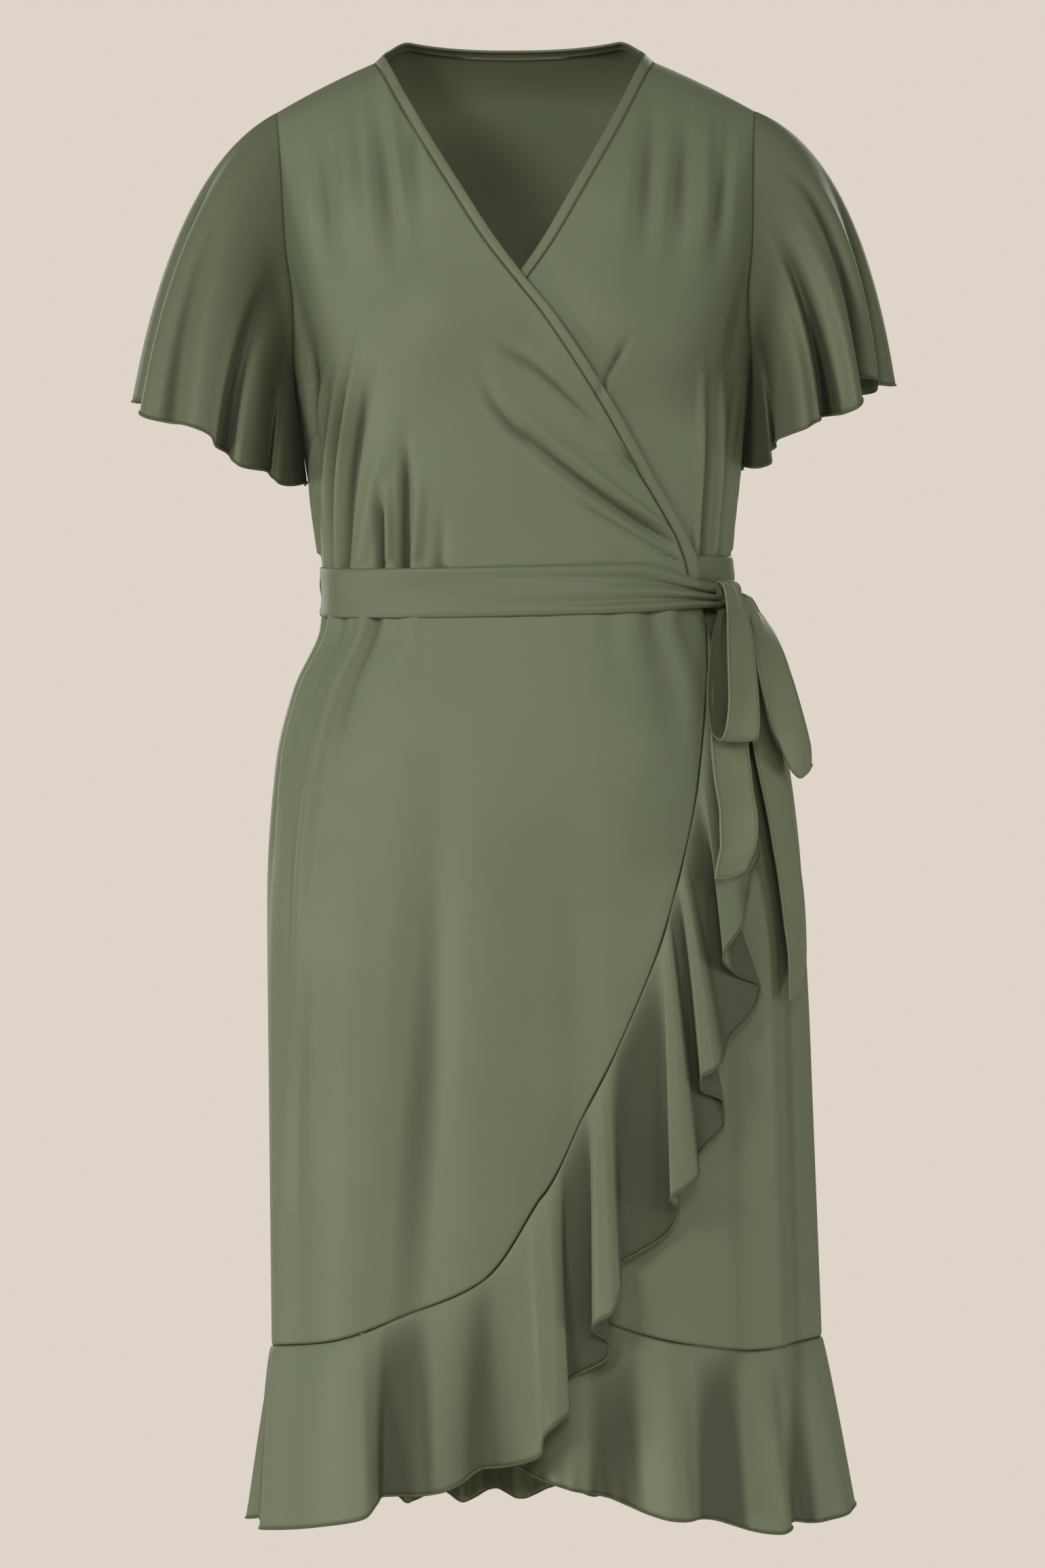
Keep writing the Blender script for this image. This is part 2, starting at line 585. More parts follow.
def between(tree, value, low, high, to_low=0.0, to_high=1.0):
    """value carried smoothly from the range low to high on to another one."""
    node = tree.nodes.new("ShaderNodeMapRange")
    node.interpolation_type = "SMOOTHSTEP"
    feed(tree, value, node.inputs["Value"])
    for label, number in (("From Min", low), ("From Max", high), ("To Min", to_low), ("To Max", to_high)):
        node.inputs[label].default_value = number
    return node.outputs["Result"]


def kept_value(tree, name):
    """A value that is kept on the mesh's points."""
    node = tree.nodes.new("ShaderNodeAttribute")
    node.attribute_name = name
    return node.outputs["Fac"]


def dyed_cloth():
    """A group for the dyed jersey's colour and gloss. Broad clouds of dye and fine flecks of yarn vary the
    colour. It darkens along the seams, in a line 2.2 mm from a free edge, and in the hollows of the
    folds."""
    group, given, made = node_group(
        "dyed cloth",
        [
            ("Dye", "NodeSocketColor", None), ("Shade", "NodeSocketColor", None),
            ("Clouds", "NodeSocketFloat", 0.3), ("Seam Mark", "NodeSocketFloat", 0.5),
            ("Edge Line", "NodeSocketFloat", 0.0), ("Gloss", "NodeSocketFloat", 0.5),
        ],
        [("Color", "NodeSocketColor"), ("Roughness", "NodeSocketFloat")],
    )
    place = group.nodes.new("ShaderNodeTexCoord").outputs["Object"]
    clouds = between(group, noise(group, place, 7, 3), 0.35, 0.68)
    flecks = between(group, noise(group, place, 900, 2, 0.7), 0.3, 0.75)
    dye = calculate(group, "MULTIPLY", clouds, given.outputs["Clouds"])
    dye = calculate(group, "ADD", dye, calculate(group, "MULTIPLY", flecks, 0.16))
    colour = tinted(group, dye, given.outputs["Dye"], given.outputs["Shade"])
    near_seam = between(group, kept_value(group, "from_seam"), 0.0, 2.6, 1.0, 0.0)
    mark = calculate(group, "MULTIPLY", near_seam, given.outputs["Seam Mark"])
    off_line = calculate(group, "SUBTRACT", kept_value(group, "from_hem"), 2.2)
    line = between(group, calculate(group, "ABSOLUTE", off_line), 0.2, 0.9, 1.0, 0.0)
    mark = calculate(group, "MAXIMUM", mark, calculate(group, "MULTIPLY", line, given.outputs["Edge Line"]))
    deep = tinted(group, 0.72, given.outputs["Shade"], (0.02, 0.02, 0.011, 1))
    colour = tinted(group, between(group, kept_value(group, "hollow"), 0.1, 4.4, 0.0, 0.85), colour, deep)
    group.links.new(tinted(group, mark, colour, deep), made.inputs["Color"])
    rough = calculate(group, "ADD", given.outputs["Gloss"], calculate(group, "MULTIPLY", clouds, 0.06))
    rough = calculate(group, "ADD", rough, calculate(group, "MULTIPLY", flecks, 0.05))
    group.links.new(rough, made.inputs["Roughness"])
    return group


def knit_relief():
    """A group for the jersey's knit. Its height is a row of V shaped stitches: the wales run up the cloth,
    and in each one the courses slant up to its middle."""
    group, given, made = node_group(
        "knit relief", [("Pitch", "NodeSocketFloat", 0.0007), ("Crinkle", "NodeSocketFloat", 0.3)],
        [("Height", "NodeSocketFloat")],
    )
    laid = group.nodes.new("ShaderNodeUVMap")
    laid.uv_map = "laid flat"
    parts = group.nodes.new("ShaderNodeSeparateXYZ")
    group.links.new(laid.outputs[0], parts.inputs[0])
    wale = calculate(group, "DIVIDE", parts.outputs["X"], given.outputs["Pitch"])
    course = calculate(group, "DIVIDE", parts.outputs["Y"], given.outputs["Pitch"])
    beside = calculate(group, "ABSOLUTE", calculate(group, "SINE", calculate(group, "MULTIPLY", wale, np.pi)))
    slant = calculate(group, "MULTIPLY", course, 2 * np.pi)
    slant = calculate(group, "ADD", slant, calculate(group, "MULTIPLY", beside, 2.2))
    loop = calculate(group, "ADD", calculate(group, "SINE", slant), 2.0)
    stitch = calculate(group, "MULTIPLY", loop, beside)
    place = group.nodes.new("ShaderNodeTexCoord").outputs["Object"]
    crinkle = calculate(group, "MULTIPLY", noise(group, place, 60, 3), given.outputs["Crinkle"])
    height = calculate(group, "ADD", calculate(group, "MULTIPLY", stitch, 0.12), crinkle)
    group.links.new(height, made.inputs["Height"])
    return group


DYED_CLOTH = dyed_cloth()
KNIT_RELIEF = knit_relief()


def jersey(
    name, dye, shade, seam_mark=0.5, gloss=0.52, relief=0.00016, pitch=0.0007, edge_line=0.0
):
    """The finish of one dye lot of jersey: the dyed cloth's colour and gloss, and the knit as a fine
    bump."""
    material = bpy.data.materials.new(name)
    material.use_nodes = True
    tree = material.node_tree
    shader = tree.nodes["Principled BSDF"]
    shader.inputs["Sheen Weight"].default_value = 0.12
    shader.inputs["Sheen Roughness"].default_value = 0.4
    shader.inputs["Sheen Tint"].default_value = (0.80, 0.86, 0.72, 1)
    shader.inputs["Specular IOR Level"].default_value = 0.28
    cloth = tree.nodes.new("ShaderNodeGroup")
    cloth.node_tree = DYED_CLOTH
    for label, value in (
        ("Dye", dye), ("Shade", shade), ("Seam Mark", seam_mark), ("Edge Line", edge_line), ("Gloss", gloss)
    ):
        cloth.inputs[label].default_value = value
    knit = tree.nodes.new("ShaderNodeGroup")
    knit.node_tree = KNIT_RELIEF
    knit.inputs["Pitch"].default_value = pitch
    bump = tree.nodes.new("ShaderNodeBump")
    bump.inputs["Strength"].default_value = 0.5
    bump.inputs["Distance"].default_value = relief
    tree.links.new(cloth.outputs["Color"], shader.inputs["Base Color"])
    tree.links.new(cloth.outputs["Roughness"], shader.inputs["Roughness"])
    tree.links.new(knit.outputs["Height"], bump.inputs["Height"])
    tree.links.new(bump.outputs["Normal"], shader.inputs["Normal"])
    return material


OLIVE = (0.148, 0.179, 0.103, 1)
DEEP_OLIVE = (0.126, 0.150, 0.085, 1)
olive_jersey = jersey("olive jersey", OLIVE, DEEP_OLIVE)


def edged(count, length):
    """Shares from 0 to 1 in even steps, with closer ones at 0.6, 1.3, 2.1 and 3 mm from both ends of that
    length."""
    close = np.array([0, 0.6, 1.3, 2.1, 3.0]) / length
    even = np.linspace(0, 1, count)
    inside = even[(even > close[-1] * 1.4) & (even < 1 - close[-1] * 1.4)]
    return np.concatenate([close, inside, 1 - close[::-1]])


def back_neck(turn, wide):
    """The angle and ring height of the back neckline at a turn of -90 to 90 degrees, wide out from its
    edge: half an ellipse from neck point to neck point, made a little flatter near them."""
    across = (NECK_X + wide) * np.sin(np.radians(turn)) / ring_half(RIDGE)
    to_side = np.degrees(np.arccos(signed_power(across, 1 / ROUNDNESS)))
    fall = (RIDGE - BACK_NECK + NECK_SLANT * wide) * np.cos(np.radians(turn)) ** 1.5
    return 360 - to_side, RIDGE - fall


bodice_up = edged(158, RIDGE - WAIST)
neck_turn = np.linspace(-90, 90, 57)
neck_angle, neck_height = back_neck(neck_turn, BAND_WIDTH)
ridge_edge = float(armhole_angle(np.array(float(RIDGE))))
neck_share = (neck_angle - 180 - ridge_edge) / (180 - 2 * ridge_edge)
shoulder_share = neck_share[0] * edged(30, 95)[:-1]
back_share = np.concatenate([shoulder_share, neck_share, 1 - shoulder_share[::-1]])
back_top = np.concatenate([RIDGE + 0 * shoulder_share, neck_height, RIDGE + 0 * shoulder_share])
side_height = mix(WAIST, RIDGE, bodice_up)[:, None]
back_angle = mix(180 + armhole_angle(side_height), 360 - armhole_angle(side_height), back_share)
back_height = mix(WAIST, back_top, bodice_up[:, None])
bodice_back = cloth_object(
    "back_bodice", cloth_point(back_angle, back_height, 0 * back_angle), olive_jersey,
    sewn="left right bottom top",
)
hang(
    bodice_back, "bodice_back", (0.58, 0.50),
    1.06,
)

# The fronts of the bodice
# The right front laps over the left one, from the neck point across the bust to the left of the waist. Both
# are cut on the slant of their wrap edge and gathered a little into the waist, and their drapes run down to
# the sash.
WRAP_EDGE = (
    # height and place across of the right front's edge; the left front's is its mirror image
    (-408, 130), (-389, 126), (-326, 95), (-259, 60), (-205, 26), (-174, 1.5), (-148, -17), (-110, -39.5),
    (-51, -73), (0, -NECK_X),
)
LAP_LIFT = 5.2
LAP_SINK = 3
wrap_edge = table_curves(WRAP_EDGE, [1], 0)[0]


def wrap_angle(height, shift):
    """The angle on a ring where the form's point lies on the wrap edge, moved to its right by shift."""

    def past_edge(angle):
        """How far to the wearer's left of the edge the form's point lies."""
        point = form_point(angle, height)
        return point[..., 0] - (wrap_edge(point[..., 2]) - shift)

    return where_zero(past_edge, 0.5 + 0 * height, 179.5 + 0 * height)


def lap_lift(angle, height):
    """How far the right front lies out: in full over the left front's hidden part, not at all at its side."""
    return LAP_LIFT * ease((ring_lap(height) + 32 - angle) / 32) * ease((-60 - height) / 100)


def lap_sink(angle, height):
    """How far the left front lies in behind the right front's edge."""
    return -LAP_SINK * ease((angle - 6 - wrap_angle(height, 0)) / 14) * ease((-150 - height) / 100)


def front_grid(side, edge, columns, proud):
    """A grid on the front from the wrap edge, moved by the first of the edge's two shifts, to the second
    one or the armhole. side is 1 for the right front and -1 for the left one, whose angles are 180 less the
    right one's. proud lifts the columns."""
    height = mix(WAIST, RIDGE, bodice_up)[:, None]
    inner = wrap_angle(height, edge[0])
    outer = 180 - armhole_angle(height) if edge[1] is None else wrap_angle(height, edge[1])
    angle = mix(inner, outer, columns)
    height = height + 0 * angle
    placed = angle if side > 0 else 180 - angle
    lift = lap_lift(placed, height) if side > 0 else lap_sink(180 - angle, height)
    return cloth_point(placed, height, lift + proud(columns))


for side, word in ((1, "right"), (-1, "left")):
    front = cloth_object(
        word + "_bodice", front_grid(side, (BAND_WIDTH, None), edged(138, 320), lambda share: 0 * share),
        olive_jersey, sewn="left right bottom top",
    )
    under = ["bodice_front_left"] if side > 0 else ["bodice_back"]
    hang(front, "bodice_front_" + word, (0.42, 0.52), 1.06)

# The neck bands
# A strip of the same jersey is folded over each wrap edge and round the back neck, and stitched down, so it
# stands a little proud and shows one seam line 8 mm in from the fold.
binding_jersey = jersey("binding jersey", (0.150, 0.176, 0.100, 1), (0.128, 0.149, 0.083, 1), 0.7, 0.5)


def band_swell(share):
    """The folded band's rounding: most proud along its middle, and turned in at both edges."""
    return 0.55 - 0.75 * np.abs(2 * share - 1) ** 3


band_columns = np.linspace(0, 1, 15)
for side, word in ((1, "right"), (-1, "left")):
    band = cloth_object(
        word + "_neck_band", front_grid(side, (0, BAND_WIDTH), band_columns, band_swell), binding_jersey,
        sewn="right bottom top", thick=BAND_WALL, tuck=0.4,
    )
    hang(band, "neck_band_" + word, (0.0105, 0.52))

turn_steps = np.linspace(-90, 90, 121)[:, None]
band_angle, band_height = back_neck(turn_steps, BAND_WIDTH * band_columns)
back_band = cloth_object(
    "back_neck_band", cloth_point(band_angle, band_height, band_swell(band_columns) + 0 * band_angle),
    binding_jersey, sewn="right bottom top", thick=BAND_WALL, tuck=0.4,
)
hang(back_band, "neck_band_back", (0.0105, 0.25))

# The flutter sleeves
# Each sleeve is a half circle of jersey sewn into the armhole, so it falls open like a short cape, in soft
# flutes that deepen to the hem. The hem is a narrow rolled edge, overlocked in a darker thread, and the
# cloth is darker where it hangs in against the body.
SLEEVE_MIDDLE = (264, -76, 173, -264)  # place across and height of its outer end, then of its inner one
SLEEVE_MIDDLE_DEEP = 88
SLEEVE_DEEP = 116
SLEEVE_UNDER = 1.6
SLEEVE_HEMS = {
    # turn round the arm, and place across and height of the hem there
    "right": (
        (0, 301, -258), (24, 286, -262), (30, 288.5, -268), (48, 268, -279), (60, 255, -280.5),
        (84, 236, -291), (94, 232.5, -300), (108, 217, -312), (134, 197, -320), (166, 174, -328),
        (180, 169, -325), (206, 182, -307), (270, 236, -280), (330, 288, -258), (360, 301, -258),
    ),
    "left": (
        (0, 287.7, -259.6), (28, 269, -262), (35, 267, -257.5), (48, 254.5, -257), (58, 256, -273),
        (66, 250, -280), (76, 243, -285.5), (95, 222, -291.4), (118, 200, -300.5), (124, 195, -304),
        (131, 195.5, -309), (140, 187, -312), (148, 186, -319), (162, 175, -323.5), (180, 166, -321),
        (206, 180, -303), (270, 232, -276), (330, 276, -258), (360, 287.7, -259.6),
    ),
}
SLEEVE_FOLDS = {
    # turn round the arm, half width, where it starts down the sleeve, depth at the hem
    "right": (
        (16, 11, 0.0, -14), (34, 12, 0.0, 8), (66, 22, 0.0, 11), (99, 7, 0.08, -15), (112, 8, 0.08, 7),
        (129, 13, 0.0, -22), (150, 10, 0.1, 10), (167, 11, 0.15, -13), (204, 11, 0.3, -5),
        (224, 14, 0.2, 8), (248, 12, 0.12, -12), (271, 15, 0.1, 11), (295, 12, 0.05, -14),
        (317, 14, 0.05, 12), (341, 11, 0.1, -11),
    ),
    "left": (
        (16, 12, 0.2, -11), (33, 9, 0.1, 7), (47, 9, 0.0, -17), (66, 11, 0.0, 13), (85, 9, 0.0, -28),
        (107, 13, 0.0, 13), (129, 12, 0.0, -22), (147, 9, 0.1, 9), (164, 10, 0.15, -14), (205, 11, 0.3, -5),
        (225, 14, 0.2, 8), (249, 12, 0.12, -12), (272, 15, 0.1, 11), (296, 12, 0.05, -14),
        (318, 14, 0.05, 12), (341, 13, 0.2, -9),
    ),
}
SLEEVE_DIM = {
    # how much darker under the arm, the turn from where on, and how much darker at the hem
    "right": (3.4, 60, 0.4), "left": (2.6, 84, 3.0),
}
HEM_ROLL = 0.95
sleeve_jersey = jersey("sleeve jersey", (0.122, 0.145, 0.082, 1), (0.102, 0.120, 0.066, 1))
thread = jersey(
    "overlock thread", (0.092, 0.106, 0.058, 1), (0.074, 0.086, 0.046, 1), 0.0, 0.7, 0.0004, 0.0014
)


def armhole_point(side, turn):
    """The bodice's armhole at a turn round the arm: 0 on top, 90 in front and 180 under the arm."""
    height = mix(RIDGE, ARMPIT, (1 - np.cos(np.radians(turn))) / 2)
    edge = armhole_angle(height)
    from_left = np.where(turn % 360 <= 180, edge, 360 - edge)
    angle = from_left if side > 0 else 540 - from_left
    return cloth_point(angle % 360, height, 0 * height)


def sleeve_grid(side, word, turn, down):
    """The sleeve's points: from the armhole a parabola, drawn towards an ellipse that seen from the front
    is a line from its outer to its inner end, and on to the hem's own line. The folds are cosine bells
    round the arm, and they deepen with the eased way down."""
    hole = armhole_point(side, turn) + np.array([-side * SLEEVE_UNDER, 0, 0])
    up = (1 + np.cos(np.radians(turn))) / 2
    front = -np.sin(np.radians(turn))
    outer_x, outer_z, inner_x, inner_z = SLEEVE_MIDDLE
    middle_x, middle_z = mix(inner_x, outer_x, up), mix(inner_z, outer_z, up)
    middle = np.stack([side * middle_x, SLEEVE_MIDDLE_DEEP * front, middle_z], -1)
    hem_x, hem_z = table_curves(SLEEVE_HEMS[word], (1, 2), 0)
    cuff = np.stack([side * hem_x(turn), SLEEVE_DEEP * front, hem_z(turn)], -1)
    v = down[..., None]
    point = hole * (1 - v) ** 2 + middle * 2 * v * (1 - v) + cuff * v * v
    swell = 0 * turn
    for at, wide, start, deep in SLEEVE_FOLDS[word]:
        away = (turn - at + 180) % 360 - 180
        swell = swell + deep * bell(away / wide) * ease((down - start) / (1 - start) * 0.72) / ease(0.72)
    outward = np.stack([side * (0.12 + 0.4 * up), 1.4 * front, -0.1 + 0 * turn], -1)
    return point + unit(outward) * swell[..., None]


sleeve_turn = np.linspace(0, 360, 300, endpoint=False)[None, :]
sleeve_down = np.concatenate([[0, 0.004, 0.009, 0.015, 0.022], np.linspace(0.035, 1, 50)])[:, None]
for side, word in ((-1, "right"), (1, "left")):
    grid = sleeve_grid(side, word, sleeve_turn + 0 * sleeve_down, sleeve_down + 0 * sleeve_turn)
    arm = grid.mean(axis=1, keepdims=True)
    in_front = ease((184 - sleeve_turn) / 8)
    under, under_from, low = SLEEVE_DIM[word]
    under_arm = under * ease((sleeve_turn - under_from) / 46) + low * sleeve_down
    sleeve = cloth_object(
        word + "_sleeve", grid, sleeve_jersey, sewn="bottom", free="top", closed=True, curl=arm,
        dim=in_front * under_arm * ease(sleeve_down * 4),
    )
    hem = rolled_edge(word + "_sleeve_hem", grid[-1], HEM_ROLL, thread, closed=True)
    hang(
        sleeve, "sleeve_" + word, (0.76, 0.33),
        trims=[hem],
    )

# The skirt
# Three panels hang from the waist: the back, the left front, and the right front, which laps over the left
# one and is cut away in a long curve from the sash to the hem. Small gathers under the sash open into long
# soft troughs.
OUTER_SEAM = (
    # place across and height of the right front's seam to its ruffle, from its side seam to the sash
    (-211, -987), (-160, -979), (-105, -959), (-45, -933), (4, -866), (32, -812), (57, -765), (93, -682),
    (108, -632), (120, -584), (129, -520), (133, -475), (134.5, -440),
)
UNDER_RUFFLE = (
    # place across and height of the seam; then hang, out, aside, wave, swing and dip of the ruffle below it
    (211, -987, 125, 10, 0, 8, 0, 2), (184, -992, 134, 16, 0, 11, 0, 3), (159, -994, 134, 18, 0, 12, 0, 3),
    (105, -986, 132, 17, 0, 12, 0, 3), (48, -969, 133, 11, 0, 7, 0, 2), (0, -946, 140, 8, 0, 4, 0, 1),
    (-45, -917, 145, 7, 0, 4, 0, 1), (-80, -890, 148, 7, 0, 3, 0, 1),
)
BACK_RUFFLE = (
    # as above, on the level seam of the back
    (None, None, 132, 12, 0, 8, 0, 3), (None, None, 132, 15, 0, 9.5, 0, 5),
    (None, None, 131, 16, 0, 10, 0, 6), (None, None, 131, 15, 0, 9.5, 0, 5),
    (None, None, 126, 10, 0, 7, 0, 3),
)
UNDER_TOP_ANGLE = 118


def angle_at_x(x, height, off):
    """The angle on a ring where the front, moved out by off, has that place across."""
    x = np.asarray(x, float)
    return where_zero(lambda angle: plain_point(angle, height, off)[..., 0] - x, 0.01 + 0 * x, 179.99 + 0 * x)


def seam_line(table):
    """A ruffle's seam as functions of the station: the angle and the height, smooth through the table's
    rows."""
    x = np.array([row[0] for row in table], float)
    z = np.array([row[1] for row in table], float)
    at_side = np.abs(x) > ring_half(z) - 1
    angle = np.where(at_side, np.where(x < 0, 180, 0), angle_at_x(x, z, 0 * x))
    return smooth_curve(range(len(table)), angle), table_curves(table, [1])[0]


def even_stations(seam, last, count):
    """Stations that lie evenly along a seam's length."""
    fine = np.linspace(0, last, 601)
    length = arc_steps(form_point(seam[0](fine), seam[1](fine)), 0)
    return np.interp(np.asarray(count) * length[-1], length, fine)


def skirt_sink(angle, height):
    """How far the left front of the skirt lies in under the right one."""
    return -LAP_SINK * ease((angle - 50) / 16) + 0 * height


def skirt_grid(seam, stations, shares, top_angles, lift, down):
    """A front of the skirt from the waist to its ruffle's seam. Each column runs from its share of the
    waist to its station on the seam, and its angle changes half evenly and half eased."""
    height = mix(WAIST, seam[1](stations), down)
    angle = mix(mix(top_angles[0], top_angles[1], shares), seam[0](stations), (ease(down) + down) / 2)
    return cloth_point(angle, height, lift(angle, height))


outer_seam, under_seam = seam_line(OUTER_SEAM), seam_line(UNDER_RUFFLE)
outer_last, under_last, back_last = (len(rows) - 1 for rows in (OUTER_SEAM, UNDER_RUFFLE, BACK_RUFFLE))
wrap_at_waist = float(wrap_angle(np.array(float(WAIST)), 0))
skirt_down = edged(110, 560)[:, None]
skirt_shares = edged(118, 560)
outer_columns = even_stations(outer_seam, outer_last, skirt_shares)
under_columns = even_stations(under_seam, under_last, skirt_shares)
back_angle = mix(180, 360, skirt_shares) + 0 * skirt_down
back_height = mix(WAIST, RUFFLE_SEAM, skirt_down) + 0 * back_angle
for name, node, grid, sewn, cut, under in (
    ("right_skirt", "skirt_front_right",
     skirt_grid(outer_seam, outer_columns, skirt_shares, (180, wrap_at_waist), lap_lift, skirt_down),
     "left right bottom top", (0.52, 0.60), ["sash_front", "skirt_front_left"]),
    ("left_skirt", "skirt_front_left",
     skirt_grid(under_seam, under_columns, skirt_shares, (0, UNDER_TOP_ANGLE), skirt_sink, skirt_down),
     "left bottom top", (0.52, 0.60), ["sash_back"]),
    ("back_skirt", "skirt_back", cloth_point(back_angle, back_height, 0 * back_angle),
     "left right bottom top", (0.60, 0.60), ["sash_back"]),
):
    skirt = cloth_object(name, grid, olive_jersey, sewn=sewn, within=30)
    hang(skirt, node, cut, 1.04)

# The ruffles
# Each is a strip cut as part of a ring, so that its sewn edge lies flat and its free edge is full. The
# outer one falls down the wrap edge in a cascade of tube folds and runs on round the hem, and its free edge
# is rolled.
RUFFLE_GAP = 0.2
HEM_CURL = 1.3
RUFFLE_CURL = 1.0
OUTER_HEM = (
    # the outer ruffle's hem from the sash down: place across, height, distance out, and the station on the
    # seam that its line hangs from, where that is fixed
    (146.5, -490, 4, 12), (158, -540, 6, None), (169, -580, 8, None), (171.5, -618, 10, None),
    (161.5, -638.5, 12, None), (159, -655, 12, None), (155, -669, 14, None),
    (138.8, -695.5, 20, 9.4), (147.5, -707, 9, None), (166, -719, 4, None), (163.5, -731, 3, None),
    (141, -759, 5, None), (136, -773, 12, None),
    (129, -780, 19, 8.05), (120, -785, 18, None), (119.5, -793, 10, None), (136, -804, 4, None),
    (137, -820.5, 2, None), (117, -843.5, 3, None), (116, -858.5, 13, None),
    (105.5, -868, 21, 7.14), (94.5, -875.5, 19, None), (101.5, -883, 9, None), (95, -899, 3, None),
    (68.5, -916.5, 1.5, None), (58, -922, 4, None), (56, -945, 14, None),
    (49, -960, 22, 5.5), (39.5, -965, 22, None), (34.8, -970.5, 15, None), (48, -984.5, 4, None),
    (46, -993.5, 3, None), (15, -1013, 4, None), (16.5, -1033, 15, None),
    (7.5, -1041, 22, 4.0), (-4, -1053, 22, None), (-5.5, -1064, 18, None), (-33, -1073, 12, None),
    (-48, -1074, 7, None), (-67, -1086, 12, None), (-82, -1092, 13, None), (-102, -1095, 4, 2.1),
    (-124, -1095, 6, None),
    (-130, -1101, 17, None), (-136, -1110, 24, None), (-166, -1117, 23, 0.95), (-194, -1122.5, 19, None),
    (-208, -1124, 8, None), (-220, -1119, 13, 0),
)
UNDER_FLUTES = (0.45, 1.98, 3.3, 4.7, 6.1)
BACK_FLUTES = 16


def near_side(angle):
    """1 at the side seams, where a line of the ruffle keeps its angle, and 0 in front."""
    return ease((np.abs(np.cos(np.radians(angle))) ** ROUNDNESS - 0.6) / 0.4)


def way_power(way, power):
    """The way down raised to a power."""
    return np.clip(way, 0, 1) ** power


def hung_grid(rows, seam, lift, along, down):
    """The outer ruffle: each line runs from its place on the seam to its place on the hem. The place across
    grows with the way down to the power 0.85, the height evenly, and the distance out with its power 0.6,
    so that the tubes are full soon below the seam. Near the hem the edge curls in small uneven waves. With
    the points come their hollows, deeper the nearer the line hangs to the body and the further down it
    is."""
    corners = np.array([row[:3] for row in rows], float)
    length = arc_steps(corners, 0)
    across, tall, out = (smooth_curve(length, column) for column in corners.T)
    fixed = [number for number, row in enumerate(rows) if row[3] is not None]
    from_seam = smooth_curve(length[fixed], [rows[number][3] for number in fixed])
    where = along * length[-1]
    station = from_seam(where)
    angle, height = seam[0](station), seam[1](station)
    first = plain_point(angle, height, 0 * angle)[..., 0]
    share = near_side(angle)

    def on_form(way):
        """The lines' points that share of the way down, without the curl."""
        z = mix(height, tall(where), way)
        seen = angle_at_x(mix(first, across(where), way**0.85), z, 0 * z + out(where) * way)
        return plain_point(mix(seen, angle, share), z, lift(angle, height) + out(where) * way**0.6)

    curl = HEM_CURL * way_power(down, 9) * np.sin(where / 6.3 + 2.2 * np.sin(where / 23))
    grid = cloth_point(angle, height, lift(angle, height)) + on_form(down) - on_form(0 * down)
    hollow = (15.5 - out(where)) * down**0.4 * 0.62 + 0.5 * down
    return grid + form_normal(angle, height) * curl[..., None], hollow


def flute_phase(ridges, last):
    """The phase of the flutes along the stations, one whole turn from each ridge to the next."""
    at = [0, *ridges, max(ridges[-1] + 0.7, last)]
    turns = [-0.25, *range(len(ridges)), len(ridges) - 0.4]
    phase = smooth_curve(at, turns)
    return lambda station: phase(station) * 2 * np.pi


def tube(phase):
    """A flute's profile from -0.55 in the hollow to 1 on the ridge: a cosine raised to a power, so that the
    ridge is a narrow tube and the hollow between two of them is broad."""
    return 1.55 * ((1 + np.cos(phase)) / 2) ** 1.5 - 0.55


def ruffle_grid(table, seam, phase, lift, by_angle, fullness, station, down):
    """A ruffle hangs from its seam over the form. Down each line it moves out and aside, and its tubes grow
    with the line's length to the power 0.7, first aside and then out, so that their hanging side folds in
    under them. Near the hem the edge also curls in small uneven waves."""
    hang_by, out, aside_by, wave, swing, dip = table_curves(table, range(2, 8))
    last = len(table) - 1
    angle, height = seam[0](station), seam[1](station)
    nudge = last * 0.002
    before, after = (
        plain_point(seam[0](near), seam[1](near), 0 * near)
        for near in (np.maximum(station - nudge, 0), np.minimum(station + nudge, last))
    )
    away = unit(np.cross(after - before, form_normal(angle, height)))
    at_seam = cloth_point(angle, height, lift(angle, height)) - away * RUFFLE_GAP
    turn = phase(station)
    share = by_angle(angle)
    first = plain_point(angle, height, 0 * angle)[..., 0]

    def on_form(way):
        """The lines' points that share of the way down, without the curl."""
        grown = way**0.7
        z = height - hang_by(station) * way - dip(station) * way * way * np.cos(turn - 0.5)
        aside = aside_by(station) * way - swing(station) * grown * np.cos(turn - 0.35)
        seen = angle_at_x(first + aside, z, 0 * z)
        off = out(station) * way + fullness * wave(station) * grown * tube(turn)
        return plain_point(mix(seen, angle, share), z, lift(angle, height) + off)

    curl = RUFFLE_CURL * way_power(down, 9) * np.sin(turn * 4.7 + 3 * np.sin(turn * 0.37))
    return at_seam + on_form(down) - on_form(0 * down) + form_normal(angle, height) * curl[..., None]


back_seam = (lambda station: mix(180, 360, station / back_last), lambda station: RUFFLE_SEAM + 0 * station)
ruffle_down = np.concatenate([[0, 0.006, 0.013, 0.022], np.linspace(0.035, 1, 34)])[:, None]
along_hem = np.linspace(0, 1, 720)[None, :]
cascade, valleys = hung_grid(
    OUTER_HEM, outer_seam, lap_lift, along_hem + 0 * ruffle_down, ruffle_down + 0 * along_hem
)
body = np.array([0, 0, cascade[..., 2].mean()])
ruffle = cloth_object(
    "right_ruffle", cascade, olive_jersey, sewn="bottom", free="top", curl=body, hollow=valleys
)
hem = rolled_edge("right_ruffle_hem", cascade[-1], HEM_ROLL, thread)
hang(ruffle, "ruffle_front_right", (1.45, 0.19), trims=[hem])

